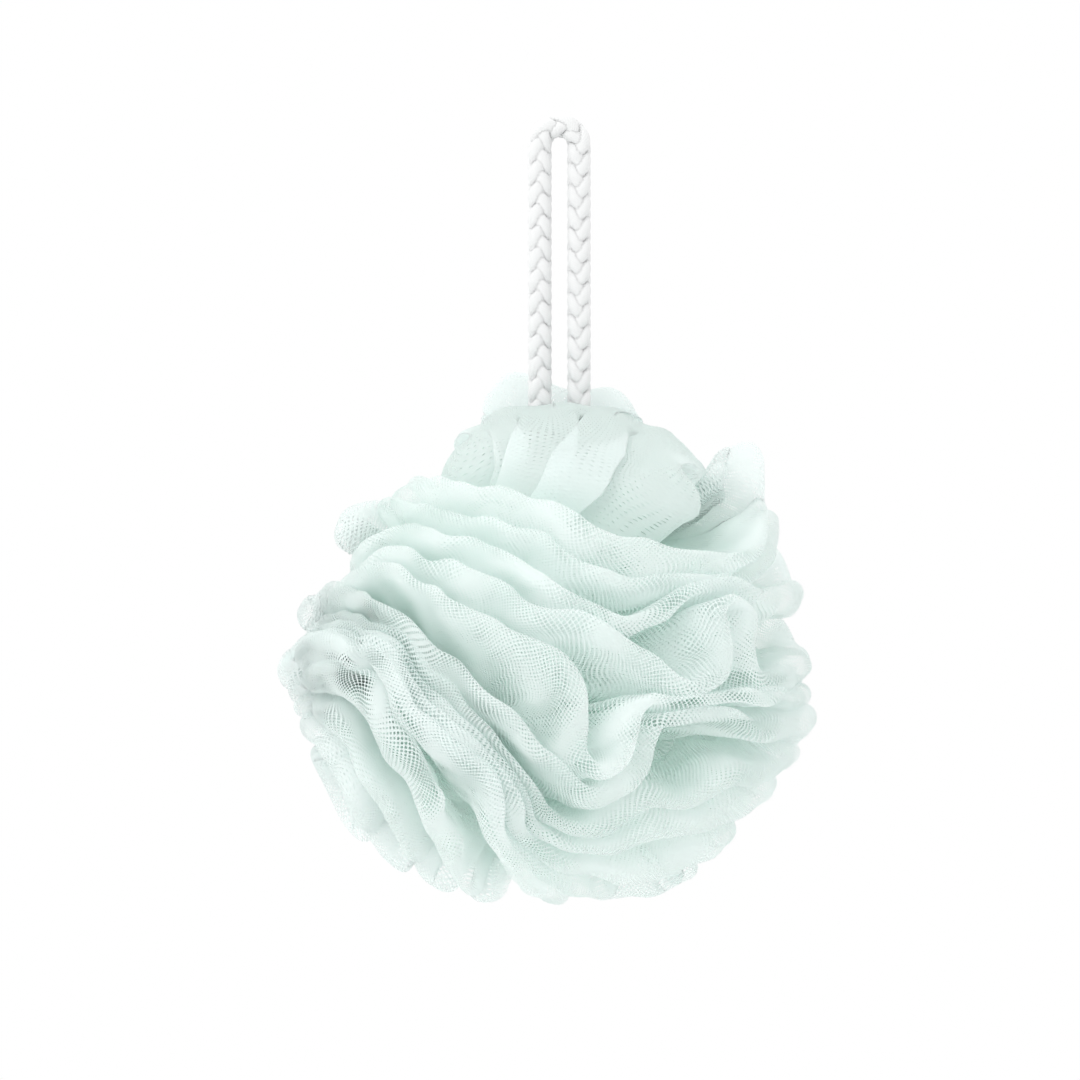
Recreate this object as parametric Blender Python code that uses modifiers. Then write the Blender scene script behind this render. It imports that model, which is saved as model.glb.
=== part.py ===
"""Mesh bath pouf: a ball of gathered net on a braided hanging cord.

Metres, +Z up. The origin is the inside of the loop's top, where a hook bears, and the pouf
hangs below it. The front is the side seen by a viewer who looks along +Y.
"""

import math

import bpy
import numpy as np

# Hanging cord
CORD_DIAMETER = 0.0064
LEG_SPACING = 0.0094
LOOP_DROP = 0.061
CORD_SIDE_STEPS = 2
LEG_ROUTE_SHARES = (0.0, 0.25, 0.5, 0.75, 1.0)
SAMPLES_PER_STRETCH = 4

# Ball of net
POUF_RADIUS = 0.063
POUF_HALF_DEPTH = 0.061
FOLD_DEPTH = 0.021
FOLD_WAIST_DEPTH = 0.010
FOLD_PITCHES = 15
RIM_THICKNESS = 0.0052
WAIST_THICKNESS = 0.0050
STEPS_ROUND = 63
FRONT_CROWDING = 0.42

# Lean of the folds: their rims are turned about the cord past the heart, from one share of the
# ball's radius to the other
LEAN_ANGLE = math.radians(35.0)
LEAN_START = 0.48
LEAN_END = 0.95

# Ruffles: the net turns about a point of the ball, more towards the rims, over these shares of
# the ball's radius
RUFFLE_START = 0.32
RUFFLE_END = 0.90

# Heart of the pouf, where the cord is tied round the gathers
CLEARANCE = 0.0003
TIE_TURN_DIAMETER = 0.022
KNOT_WIDTH = 0.017
KNOT_DEPTH = 0.011
KNOT_HEIGHT = 0.010
KNOT_ROUNDING = 0.0036
KNOT_ROUNDING_STEPS = 3
TIE_STEPS_ROUND = 24
TIE_STEPS_ACROSS = 10
CORD_WAY_END_STEPS = 8

# Part of the net round the two legs, which stands open
PARTING_MARGIN = 0.0026
PARTING_RISE = 0.015

# Hand-placed ruffles on the front: place across and up from the middle in radii of the ball,
# reach in degrees and turn in degrees, positive to the left
FRONT_RUFFLES = {
    "upper_sweep": (0.00, 0.36, 60.0, 14.0),
    "lower_left_sweep": (-0.49, -0.55, 52.0, -16.0),
    "hook": (0.45, 0.12, 26.0, 66.0),
    "pocket": (0.14, -0.24, 20.0, 76.0),
    "right_finger": (0.57, 0.52, 21.0, 60.0),
    "right_pocket": (0.56, -0.33, 17.0, 50.0),
    "lower_right": (0.42, -0.72, 24.0, 36.0),
    "left_shoulder": (-0.62, 0.36, 24.0, -34.0),
    "lower_middle": (-0.22, -0.62, 22.0, 36.0),
}

# Ruffles of the sides and back, spread by the golden angle
SIDE_RUFFLE_PLACES = 46
SIDE_RUFFLE_REACH = math.radians(26.0)
SIDE_RUFFLE_TURN = math.radians(42.0)
SIDE_RUFFLE_FRONT_LIMIT = -0.15

# The net wraps round the legs where they leave it
CAP_REACH = math.radians(42.0)
CAP_TURN = math.radians(70.0)

# Outline seen from the front: degrees clockwise from the top, and radii of the ball
OUTLINE = (
    (0.0, 1.016), (25.0, 0.952), (45.0, 0.952), (70.0, 1.000), (95.0, 1.055), (120.0, 1.063),
    (150.0, 1.032), (180.0, 0.976), (210.0, 1.016), (235.0, 1.032), (260.0, 1.040),
    (290.0, 0.960), (312.0, 0.905), (335.0, 0.937),
)
OUTLINE_SPREAD = math.radians(16.0)

# Values worked out from the sizes above
CORD_RADIUS = CORD_DIAMETER / 2
LEG_OFFSET = LEG_SPACING / 2
POUF_CENTRE = np.array((0.0, 0.0, -(LOOP_DROP + POUF_RADIUS)))
VALLEY_RADIUS = POUF_RADIUS - FOLD_DEPTH
WAIST_RADIUS = POUF_RADIUS - FOLD_WAIST_DEPTH
FOLD_PITCH = math.pi / FOLD_PITCHES
GATHER_TILT = 3.5 * FOLD_PITCH
TIE_TOP = TIE_TURN_DIAMETER / 2 + CORD_RADIUS
KNOT_BOTTOM = TIE_TOP + CLEARANCE
KNOT_TOP = KNOT_BOTTOM + KNOT_HEIGHT
LEG_END = KNOT_TOP + CLEARANCE
UP = np.array((0.0, 0.0, 1.0))


def smooth_step(value):
    """Rise from 0 to 1 with level ends."""
    share = np.clip(value, 0.0, 1.0)
    return share * share * (3.0 - 2.0 * share)


def turned(points, axis, angles):
    """Turn each point about an axis through the ball's centre by its own angle."""
    cosines = np.cos(angles)[:, None]
    sines = np.sin(angles)[:, None]
    along = (points @ axis)[:, None] * axis
    return points * cosines + np.cross(axis, points) * sines + along * (1.0 - cosines)


def ruffled(points, centre, reach, turn):
    """Turn the net about one direction, most at its middle and at the rims, and nothing past its reach."""
    distance = np.linalg.norm(points, axis=1)
    angle = np.arccos(np.clip(points @ centre / distance, -1.0, 1.0))
    fade = np.clip(1.0 - (angle / reach) ** 2, 0.0, 1.0) ** 2
    depth = smooth_step((distance / POUF_RADIUS - RUFFLE_START) / (RUFFLE_END - RUFFLE_START))
    return turned(points, centre, turn * fade * depth)


def front_direction(across, up):
    """Unit vector to a place on the front of the ball, given as the viewer sees it."""
    towards_viewer = math.sqrt(1.0 - across * across - up * up)
    return np.array((across, -towards_viewer, up))


def side_ruffles():
    """Directions and turns of the ruffles round the sides and back, to the left and right by turns."""
    golden_angle = math.pi * (3.0 - math.sqrt(5.0))
    ruffles = []
    for place in range(SIDE_RUFFLE_PLACES):
        height = 1.0 - (2.0 * place + 1.0) / SIDE_RUFFLE_PLACES
        ring = math.sqrt(1.0 - height * height)
        direction = np.array((
            ring * math.cos(golden_angle * place),
            ring * math.sin(golden_angle * place),
            height,
        ))
        near_front = direction[1] < SIDE_RUFFLE_FRONT_LIMIT
        near_cord = math.acos(height) < SIDE_RUFFLE_REACH
        if near_front or near_cord:
            continue
        side = 1.0 if place % 2 else -1.0
        ruffles.append((direction, side * SIDE_RUFFLE_TURN))
    return ruffles


def leaned(points):
    """Turn the heart back about the cord's line, so that the folds lean over towards their rims."""
    distance = np.linalg.norm(points, axis=1)
    share = smooth_step((distance / POUF_RADIUS - LEAN_START) / (LEAN_END - LEAN_START))
    return turned(points, UP, -LEAN_ANGLE * (1.0 - share))


def outlined(points):
    """Draw the ball out to the outline of the real pouf, by the clock direction of each point."""
    distance = np.linalg.norm(points, axis=1)
    unit = points / distance[:, None]
    clock = np.arctan2(unit[:, 0], unit[:, 2])
    weights = np.zeros(len(points))
    radii = np.zeros(len(points))
    for degrees, radius in OUTLINE:
        away = (clock - math.radians(degrees) + math.pi) % (2.0 * math.pi) - math.pi
        weight = np.exp(-0.5 * (away / OUTLINE_SPREAD) ** 2)
        weights += weight
        radii += weight * radius
    radii = radii / weights
    across = np.hypot(unit[:, 0], unit[:, 2]) / radii
    depth = unit[:, 1] * POUF_RADIUS / POUF_HALF_DEPTH
    stretch = 1.0 / np.hypot(across, depth)
    share = smooth_step(distance / POUF_RADIUS)
    return points * (1.0 + (stretch - 1.0) * share)[:, None]


def parted(points):
    """Push the net aside from an oval round the two legs, above the pouf's middle."""
    half_width = LEG_OFFSET + CORD_RADIUS + PARTING_MARGIN
    half_depth = CORD_RADIUS + PARTING_MARGIN
    opening = smooth_step(points[:, 2] / PARTING_RISE)
    oval = np.hypot(points[:, 0] / half_width, points[:, 1] / half_depth)
    oval = np.maximum(oval, 1e-6)
    push = np.sqrt(oval * oval + opening) / oval
    return points * np.stack((push, push, np.ones(len(points))), axis=1)


def gathered(points):
    """Carry points of the plain bellows to their places in the ruffled pouf."""
    cosine = math.cos(GATHER_TILT)
    sine = math.sin(GATHER_TILT)
    x, y, z = points.T
    points = np.stack((x * cosine + z * sine, y, z * cosine - x * sine), axis=1)
    points = leaned(points)
    points = ruffled(points, UP, CAP_REACH, CAP_TURN)
    for across, up, reach, turn in FRONT_RUFFLES.values():
        centre = front_direction(across, up)
        points = ruffled(points, centre, math.radians(reach), math.radians(turn))
    for centre, turn in side_ruffles():
        points = ruffled(points, centre, SIDE_RUFFLE_REACH, turn)
    return parted(outlined(points)) + POUF_CENTRE


def crowded_front(points):
    """Bring the bellows' steps closer together on the front, where the ruffles are finest."""
    angle = np.arctan2(points[:, 1], points[:, 0])
    radius = np.hypot(points[:, 0], points[:, 1])
    angle = angle - FRONT_CROWDING * np.cos(angle)
    return np.stack((radius * np.cos(angle), radius * np.sin(angle), points[:, 2]), axis=1)


def bellows_profile():
    """Half section of the gathered tube from pole to pole: ring radius and height."""
    rim_share = RIM_THICKNESS / 2 / POUF_RADIUS
    waist_share = WAIST_THICKNESS / 2 / WAIST_RADIUS
    outline = [(POUF_RADIUS, 0.0), (POUF_RADIUS, rim_share), (WAIST_RADIUS, waist_share)]
    for fold in range(1, FOLD_PITCHES):
        angle = fold * FOLD_PITCH
        outline += [
            (VALLEY_RADIUS, angle - FOLD_PITCH / 2),
            (WAIST_RADIUS, angle - waist_share),
            (POUF_RADIUS, angle - rim_share),
            (POUF_RADIUS, angle + rim_share),
            (WAIST_RADIUS, angle + waist_share),
        ]
    outline += [
        (VALLEY_RADIUS, math.pi - FOLD_PITCH / 2),
        (WAIST_RADIUS, math.pi - waist_share),
        (POUF_RADIUS, math.pi - rim_share),
        (POUF_RADIUS, math.pi),
    ]
    return [(radius * math.sin(angle), radius * math.cos(angle)) for radius, angle in outline]


def make_material(name, colour, roughness):
    """A plain material with the part's colour and finish."""
    material = bpy.data.materials.new(name)
    material.use_nodes = True
    shader = material.node_tree.nodes["Principled BSDF"]
    shader.inputs["Base Color"].default_value = (*colour, 1.0)
    shader.inputs["Roughness"].default_value = roughness
    shader.inputs["Metallic"].default_value = 0.0
    return material


def link_object(name, data, collection, material=None):
    """Add an object to a collection, with its material."""
    made = bpy.data.objects.new(name, data)
    collection.objects.link(made)
    if material is not None:
        data.materials.append(material)
    return made


def mesh_of(source):
    """A plain mesh of an object as its modifiers leave it."""
    graph = bpy.context.evaluated_depsgraph_get()
    return bpy.data.meshes.new_from_object(source.evaluated_get(graph))


def make_pouf(collection, material):
    """Turn the bellows from its half section, then gather and ruffle it."""
    profile = bellows_profile()
    section = bpy.data.meshes.new("bellows_section")
    edges = [(step, step + 1) for step in range(len(profile) - 1)]
    section.from_pydata([(radius, 0.0, height) for radius, height in profile], edges, [])
    bellows = link_object("bellows", section, collection)
    screw = bellows.modifiers.new("turn", "SCREW")
    screw.axis = "Z"
    screw.angle = 2.0 * math.pi
    screw.steps = STEPS_ROUND
    screw.render_steps = STEPS_ROUND
    screw.use_merge_vertices = True
    screw.merge_threshold = 0.0001
    net = mesh_of(bellows)
    bpy.data.objects.remove(bellows)
    net.name = "mesh_pouf"
    flat = np.empty(len(net.vertices) * 3, dtype=np.float32)
    net.vertices.foreach_get("co", flat)
    points = flat.reshape(-1, 3).astype(float)
    points = gathered(crowded_front(points))
    net.vertices.foreach_set("co", points.astype(np.float32).ravel())
    net.update()
    return link_object("mesh_pouf", net, collection, material)


def cut_with(target, cutter):
    """Cut a tool's shape out of a part."""
    boolean = target.modifiers.new(cutter.name, "BOOLEAN")
    boolean.operation = "DIFFERENCE"
    boolean.solver = "EXACT"
    boolean.object = cutter


def hide_cutter(cutter):
    """Show a cutting tool as wires only."""
    cutter.hide_render = True
    cutter.display_type = "WIRE"


def move_to(made, collection):
    """Move a new primitive from the scene's collection into one of the part's own."""
    for owner in list(made.users_collection):
        owner.objects.unlink(made)
    collection.objects.link(made)


def make_knot(name, collection, margin, material=None):
    """Rounded outer shape of the knot, grown by a margin on every side."""
    bpy.ops.mesh.primitive_cube_add(size=1.0)
    knot = bpy.context.object
    knot.name = name
    size = np.array((KNOT_WIDTH, KNOT_DEPTH, KNOT_HEIGHT)) + 2.0 * margin
    for vertex in knot.data.vertices:
        vertex.co = [part * length for part, length in zip(vertex.co, size)]
    knot.location = POUF_CENTRE + UP * (KNOT_BOTTOM + KNOT_TOP) / 2
    bevel = knot.modifiers.new("rounding", "BEVEL")
    bevel.width = KNOT_ROUNDING + margin
    bevel.segments = KNOT_ROUNDING_STEPS
    move_to(knot, collection)
    if material is not None:
        knot.data.materials.append(material)
    return knot


def make_tie(name, collection, margin, material=None):
    """Turn of cord round the gathers, which stands upright under the knot."""
    bpy.ops.mesh.primitive_torus_add(
        major_radius=TIE_TURN_DIAMETER / 2,
        minor_radius=CORD_RADIUS + margin,
        major_segments=TIE_STEPS_ROUND,
        minor_segments=TIE_STEPS_ACROSS,
        location=POUF_CENTRE,
        rotation=(math.pi / 2, 0.0, 0.0),
    )
    tie = bpy.context.object
    tie.name = name
    move_to(tie, collection)
    if material is not None:
        tie.data.materials.append(material)
    return tie


def make_cord_way(collection):
    """Upright passage for the two legs, a flat outline with round ends."""
    reach = CORD_RADIUS + CLEARANCE
    height = 2.0 * POUF_RADIUS - LEG_END
    outline = []
    for side in (1.0, -1.0):
        for step in range(CORD_WAY_END_STEPS + 1):
            angle = side * math.pi / 2 - math.pi * step / CORD_WAY_END_STEPS * side
            across = LEG_OFFSET + reach * math.cos(angle)
            outline.append((side * across, reach * math.sin(angle), 0.0))
    curve = bpy.data.curves.new("cord_way", "CURVE")
    curve.dimensions = "2D"
    curve.fill_mode = "BOTH"
    curve.extrude = height / 2
    spline = curve.splines.new("POLY")
    spline.points.add(len(outline) - 1)
    for point, place in zip(spline.points, outline):
        point.co = (*place, 1.0)
    spline.use_cyclic_u = True
    shape = link_object("cord_way_outline", curve, collection)
    shape.location = POUF_CENTRE + UP * (LEG_END - CLEARANCE + height / 2)
    bpy.context.view_layer.update()
    solid = mesh_of(shape)
    solid.transform(shape.matrix_world)
    bpy.data.objects.remove(shape)
    return link_object("cord_way", solid, collection)


def cord_route():
    """Points that the cord runs through: up from the knot, over the loop's top and down again."""
    leg_foot = POUF_CENTRE[2] + LEG_END
    bend = -(LEG_OFFSET - CORD_RADIUS)
    straight_end = bend - LEG_OFFSET
    up_leg = [leg_foot + (straight_end - leg_foot) * share for share in LEG_ROUTE_SHARES]
    left = [(-LEG_OFFSET, height) for height in up_leg]
    over = []
    for degrees in (180.0, 135.0, 90.0, 45.0, 0.0):
        angle = math.radians(degrees)
        over.append((LEG_OFFSET * math.cos(angle), bend + LEG_OFFSET * math.sin(angle)))
    right = [(LEG_OFFSET, height) for height in reversed(up_leg)]
    return np.array(left + over + right)


def smooth_curve(route, samples):
    """Points of a smooth curve through a route, a few on each stretch between two of its points."""
    ends = np.concatenate((2 * route[:1] - route[1:2], route, 2 * route[-1:] - route[-2:-1]))
    points = []
    for index in range(1, len(ends) - 2):
        before, start, end, after = ends[index - 1:index + 3]
        span = np.linalg.norm(end - start)
        lead_in = span / (span + np.linalg.norm(start - before))
        lead_out = span / (span + np.linalg.norm(after - end))
        start_slope = (start - before) * lead_in * lead_in / (1 - lead_in) + (end - start) * (1 - lead_in)
        end_slope = (after - end) * lead_out * lead_out / (1 - lead_out) + (end - start) * (1 - lead_out)
        for step in range(samples):
            t = step / samples
            points.append(
                (2 * t ** 3 - 3 * t ** 2 + 1) * start + (t ** 3 - 2 * t ** 2 + t) * start_slope
                + (3 * t ** 2 - 2 * t ** 3) * end + (t ** 3 - t ** 2) * end_slope
            )
    points.append(route[-1])
    return points


def make_cord(collection, material):
    """The loop and its two legs, down to the knot."""
    points = smooth_curve(cord_route(), SAMPLES_PER_STRETCH)
    curve = bpy.data.curves.new("hanging_cord", "CURVE")
    curve.dimensions = "3D"
    curve.bevel_depth = CORD_RADIUS
    curve.bevel_resolution = CORD_SIDE_STEPS
    curve.use_fill_caps = True
    spline = curve.splines.new("POLY")
    spline.points.add(len(points) - 1)
    for point, (x, z) in zip(spline.points, points):
        point.co = (x, 0.0, z, 1.0)
    return link_object("hanging_cord", curve, collection, material)


def main():
    """Build the pouf, its cord, and the knot and turn that tie them together."""
    for old in list(bpy.data.objects):
        bpy.data.objects.remove(old)
    parts = bpy.data.collections.new("mesh_bath_pouf")
    cutters = bpy.data.collections.new("cutters")
    bpy.context.scene.collection.children.link(parts)
    bpy.context.scene.collection.children.link(cutters)

    net = make_material("pale_mint_net", (0.78, 0.91, 0.86), 0.5)
    white = make_material("white_cord", (0.93, 0.93, 0.93), 0.6)

    pouf = make_pouf(parts, net)
    make_cord(parts, white)
    make_knot("cord_knot", parts, 0.0, white)
    make_tie("gather_tie", parts, 0.0, white)

    pocket = make_knot("knot_pocket", cutters, CLEARANCE)
    channel = make_tie("tie_channel", cutters, CLEARANCE)
    way = make_cord_way(cutters)
    for cutter in (way, pocket, channel):
        hide_cutter(cutter)
        cut_with(pouf, cutter)


main()
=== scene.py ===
"""Mesh bath pouf: a ball of gathered pale mint net on a braided white cord.

Metres, +Z up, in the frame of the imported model: the origin is the inside of the loop's top, the
pouf hangs below it, and the front is the side seen by a viewer who looks along +Y.
"""

import logging
import math
from dataclasses import dataclass, field
from enum import Enum

import bpy
import numpy as np
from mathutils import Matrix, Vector


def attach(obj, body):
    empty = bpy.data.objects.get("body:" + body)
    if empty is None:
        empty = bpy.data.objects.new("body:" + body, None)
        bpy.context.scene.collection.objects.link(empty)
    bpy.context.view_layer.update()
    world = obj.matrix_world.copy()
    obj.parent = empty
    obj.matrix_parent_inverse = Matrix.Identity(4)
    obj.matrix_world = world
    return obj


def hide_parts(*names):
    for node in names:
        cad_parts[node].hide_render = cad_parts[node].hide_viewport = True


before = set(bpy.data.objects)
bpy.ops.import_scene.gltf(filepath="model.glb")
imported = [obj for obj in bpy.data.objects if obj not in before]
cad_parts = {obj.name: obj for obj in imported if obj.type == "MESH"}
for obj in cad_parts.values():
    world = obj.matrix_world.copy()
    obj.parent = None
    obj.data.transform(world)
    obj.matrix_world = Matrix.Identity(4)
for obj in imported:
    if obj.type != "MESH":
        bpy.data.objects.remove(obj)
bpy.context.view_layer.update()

Socket = bpy.types.NodeSocket
Arrays = tuple[np.ndarray, ...]
Floats = tuple[float, ...]
Pair = tuple[float, float]
Triple = tuple[float, float, float]
Counts = tuple[int, int]
log = logging.getLogger("pouf")

UP = np.array((0.0, 0.0, 1.0))
FULL_TURN = 2.0 * math.pi
NET_MAP = "net_cells"
OPENNESS = "openness"
STRAND_MAP = "strand"
WHITE = (1.0, 1.0, 1.0, 1.0)
WAVE_TERMS = 5
WAVE_HEIGHTS = (0.5, 1.0)
WAVE_GAIN = 1.4
FIBRE_STRETCH = (1400.0, 1400.0, 260.0)
FIBRE_DETAIL = 2.0
RIDGE_SHARE = 0.5
RIDGE_RANGE = (-0.2, 1.1)
LINE_SAMPLES = 1200
SMALLEST = 1e-6
SMALLEST_SQUARED = 1e-12


class Turn(Enum):
    """Which way a strand of the braid winds round the cord."""

    RIGHT = 1.0
    LEFT = -1.0


class StrandSource(Enum):
    """Where a cord finish reads the run of its filaments."""

    OWN_MAP = "map"
    OBJECT = "object"


def smooth_step(value: np.ndarray) -> np.ndarray:
    """Rise from 0 to 1 with level ends, as s * s * (3 - 2 * s) with s held between 0 and 1.

    Args:
        value: Shares, of any shape.

    Returns:
        The eased shares.
    """
    share = np.clip(value, 0.0, 1.0)
    return share * share * (3.0 - 2.0 * share)


def lengths(vectors: np.ndarray) -> np.ndarray:
    """Lengths of the vectors on the last axis."""
    return np.linalg.norm(vectors, axis=-1)


def unit(vectors: np.ndarray) -> np.ndarray:
    """The vectors on the last axis, brought to length one."""
    return vectors / lengths(vectors)[..., None]


def run_along(points: np.ndarray) -> np.ndarray:
    """Distance run along a line of points, from 0 at the first."""
    return np.concatenate(([0.0], np.cumsum(lengths(np.diff(points, axis=0)))))


def turned(points: np.ndarray, axis: np.ndarray, angles: np.ndarray) -> np.ndarray:
    """Turn each point about an axis through the ball's centre, by Rodrigues' formula.

    Args:
        points: Points as rows.
        axis: Unit vector.
        angles: Each point's angle in radians.

    Returns:
        The turned points.
    """
    cosines = np.cos(angles)[:, None]
    sines = np.sin(angles)[:, None]
    along = (points @ axis)[:, None] * axis
    return points * cosines + np.cross(axis, points) * sines + along * (1.0 - cosines)


def waves(angle: np.ndarray, seed: int, lowest: int, highest: int) -> np.ndarray:
    """Sum of a few sines with whole numbers of waves round a turn, about -1 to 1.

    Args:
        angle: Angles in radians.
        seed: Seed of the sines.
        lowest: Fewest waves round the turn.
        highest: Most waves round the turn.

    Returns:
        The height at each angle.
    """
    chance = np.random.default_rng(seed)
    total = np.zeros_like(angle)
    for _ in range(WAVE_TERMS):
        count = int(chance.integers(lowest, highest + 1))
        height = chance.uniform(*WAVE_HEIGHTS)
        total += height * np.sin(count * angle + chance.uniform(0.0, FULL_TURN))
    return total * WAVE_GAIN / WAVE_TERMS


@dataclass
class Patch:
    """A grid of points that closes round its first axis, with its map and a value at each point.

    Args:
        points: Places in metres, round by along by 3.
        places: Map places, round plus one by along by 2, so that the seam has both ends.
        values: Values, round by along.
        closed: The first and last rings are each closed to a point.
    """

    points: np.ndarray
    places: np.ndarray
    values: np.ndarray
    closed: bool = False


def link_object(name: str, data: bpy.types.ID) -> bpy.types.Object:
    """Make an object of some data and add it to the scene."""
    made = bpy.data.objects.new(name, data)
    bpy.context.scene.collection.objects.link(made)
    return made


def surface_object(
    name: str, patches: list[Patch], map_name: str, value_name: str, material: bpy.types.Material
) -> bpy.types.Object:
    """Put grids into one smooth mesh.

    Args:
        name: Name of the object and its mesh.
        patches: The grids.
        map_name: Name of the UV map.
        value_name: Name of the attribute that holds the grids' values.
        material: The finish.

    Returns:
        The object.
    """
    points, corners, places, sizes, values = [], [], [], [], []
    start = 0
    for patch in patches:
        around, along, _ = patch.points.shape
        row, column = np.indices((around, along - 1)).reshape(2, -1)
        steps = ((0, 0), (0, 1), (1, 1), (1, 0))
        quads = [(row + over) % around * along + column + on + start for over, on in steps]
        quad_places = [patch.places[row + over, column + on] for over, on in steps]
        points.append(patch.points.reshape(-1, 3))
        values.append(patch.values.ravel())
        corners.append(np.stack(quads, axis=1).ravel())
        places.append(np.stack(quad_places, axis=1).reshape(-1, 2))
        sizes.append(np.full(len(row), 4))
        middle = start + around * along
        ring = np.arange(around)
        for end, order in ((0, (0, 1)), (along - 1, (1, 0))) if patch.closed else ():
            points.append(patch.points[:, end].mean(axis=0)[None])
            values.append(patch.values[:1, end])
            fan = [(ring + step) % around * along + end + start for step in order]
            fan_places = [patch.places[ring + step, end] for step in order]
            corners.append(np.stack((*fan, np.full(around, middle)), axis=1).ravel())
            places.append(np.stack((*fan_places, sum(fan_places) / 2.0), axis=1).reshape(-1, 2))
            sizes.append(np.full(around, 3))
            middle += 1
        start = middle
    all_points = np.concatenate(points).astype(np.float32)
    all_corners = np.concatenate(corners).astype(np.int32)
    all_sizes = np.concatenate(sizes)
    starts = np.concatenate(([0], np.cumsum(all_sizes)[:-1])).astype(np.int32)
    mesh = bpy.data.meshes.new(name)
    mesh.vertices.add(len(all_points))
    mesh.vertices.foreach_set("co", all_points.ravel())
    mesh.loops.add(len(all_corners))
    mesh.loops.foreach_set("vertex_index", all_corners)
    mesh.polygons.add(len(all_sizes))
    mesh.polygons.foreach_set("loop_start", starts)
    mesh.update(calc_edges=True)
    mesh.shade_smooth()
    layer = mesh.uv_layers.new(name=map_name)
    layer.data.foreach_set("uv", np.concatenate(places).astype(np.float32).ravel())
    attribute = mesh.attributes.new(value_name, "FLOAT", "POINT")
    attribute.data.foreach_set("value", np.concatenate(values).astype(np.float32))
    mesh.materials.append(material)
    return link_object(name, mesh)


def triangles_in(piece: bpy.types.Object) -> int:
    """Number of triangles that a piece's faces come to."""
    sizes = np.empty(len(piece.data.polygons), dtype=np.int32)
    piece.data.polygons.foreach_get("loop_total", sizes)
    return int((sizes - 2).sum())


class NodeBoard:
    """Places and joins the nodes of one node tree."""

    def __init__(self, tree: bpy.types.NodeTree) -> None:
        """Keep the tree that the nodes go into."""
        self.tree = tree

    def feed(self, node: bpy.types.Node, entries: dict[str | int, object]) -> bpy.types.Node:
        """Give inputs of a node an output to link or else a value.

        Args:
            node: The node.
            entries: What each input gets, by its name or number.

        Returns:
            The same node.
        """
        for entry, given in entries.items():
            if isinstance(given, Socket):
                self.tree.links.new(given, node.inputs[entry])
            else:
                node.inputs[entry].default_value = given
        return node

    def add(
        self, kind: str, entries: dict[str | int, object] | None = None, **settings: object
    ) -> bpy.types.Node:
        """Place a node.

        Args:
            kind: Its type, without the ShaderNode prefix.
            entries: What its inputs get.
            **settings: Its properties.

        Returns:
            The node.
        """
        node = self.tree.nodes.new("ShaderNode" + kind)
        for name, value in settings.items():
            setattr(node, name, value)
        return self.feed(node, entries or {})

    def maths(self, operation: str, *terms: Socket | float, clamp: bool = False) -> Socket:
        """Work out an operation on outputs or numbers, held between 0 and 1 if asked."""
        settings = {"operation": operation, "use_clamp": clamp}
        return self.add("Math", dict(enumerate(terms)), **settings).outputs[0]

    def spread(self, value: Socket, source: Pair, target: Pair) -> Socket:
        """Carry a value from one range to another, and hold it there.

        Args:
            value: The value.
            source: Its lowest and highest.
            target: What those two become.

        Returns:
            The carried value.
        """
        return self.add("MapRange", {
            "Value": value, "From Min": source[0], "From Max": source[1],
            "To Min": target[0], "To Max": target[1],
        }).outputs["Result"]

    def blend(self, share: Socket, low: Floats, high: Floats) -> Socket:
        """Blend between two colours.

        Args:
            share: 0 for the first colour and 1 for the second.
            low: The first colour.
            high: The second colour.

        Returns:
            The blended colour.
        """
        node = self.add("Mix", {"Factor": share}, data_type="RGBA")
        first, second = (entry for entry in node.inputs if entry.type == "RGBA")
        first.default_value = (*low, 1.0)
        second.default_value = (*high, 1.0)
        return next(out for out in node.outputs if out.type == "RGBA")

    def mix(self, share: Socket | float, first: Socket, second: Socket) -> Socket:
        """Mix two shaders, by the share of the second."""
        return self.add("MixShader", {"Fac": share, 1: first, 2: second}).outputs[0]

    def split(self, vector: Socket) -> tuple[Socket, ...]:
        """X, Y and Z of a vector."""
        return tuple(self.add("SeparateXYZ", {0: vector}).outputs)

    def relief(self, height: Socket, strength: float, distance: float) -> Socket:
        """Normal of a relief of some height."""
        entries = {"Strength": strength, "Distance": distance, "Height": height}
        return self.add("Bump", entries).outputs["Normal"]


def new_material(name: str) -> tuple[bpy.types.Material, NodeBoard, bpy.types.Node]:
    """Start a material, and give it, its board of nodes and its Principled shader."""
    material = bpy.data.materials.new(name)
    material.use_nodes = True
    return material, NodeBoard(material.node_tree), material.node_tree.nodes["Principled BSDF"]


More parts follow.
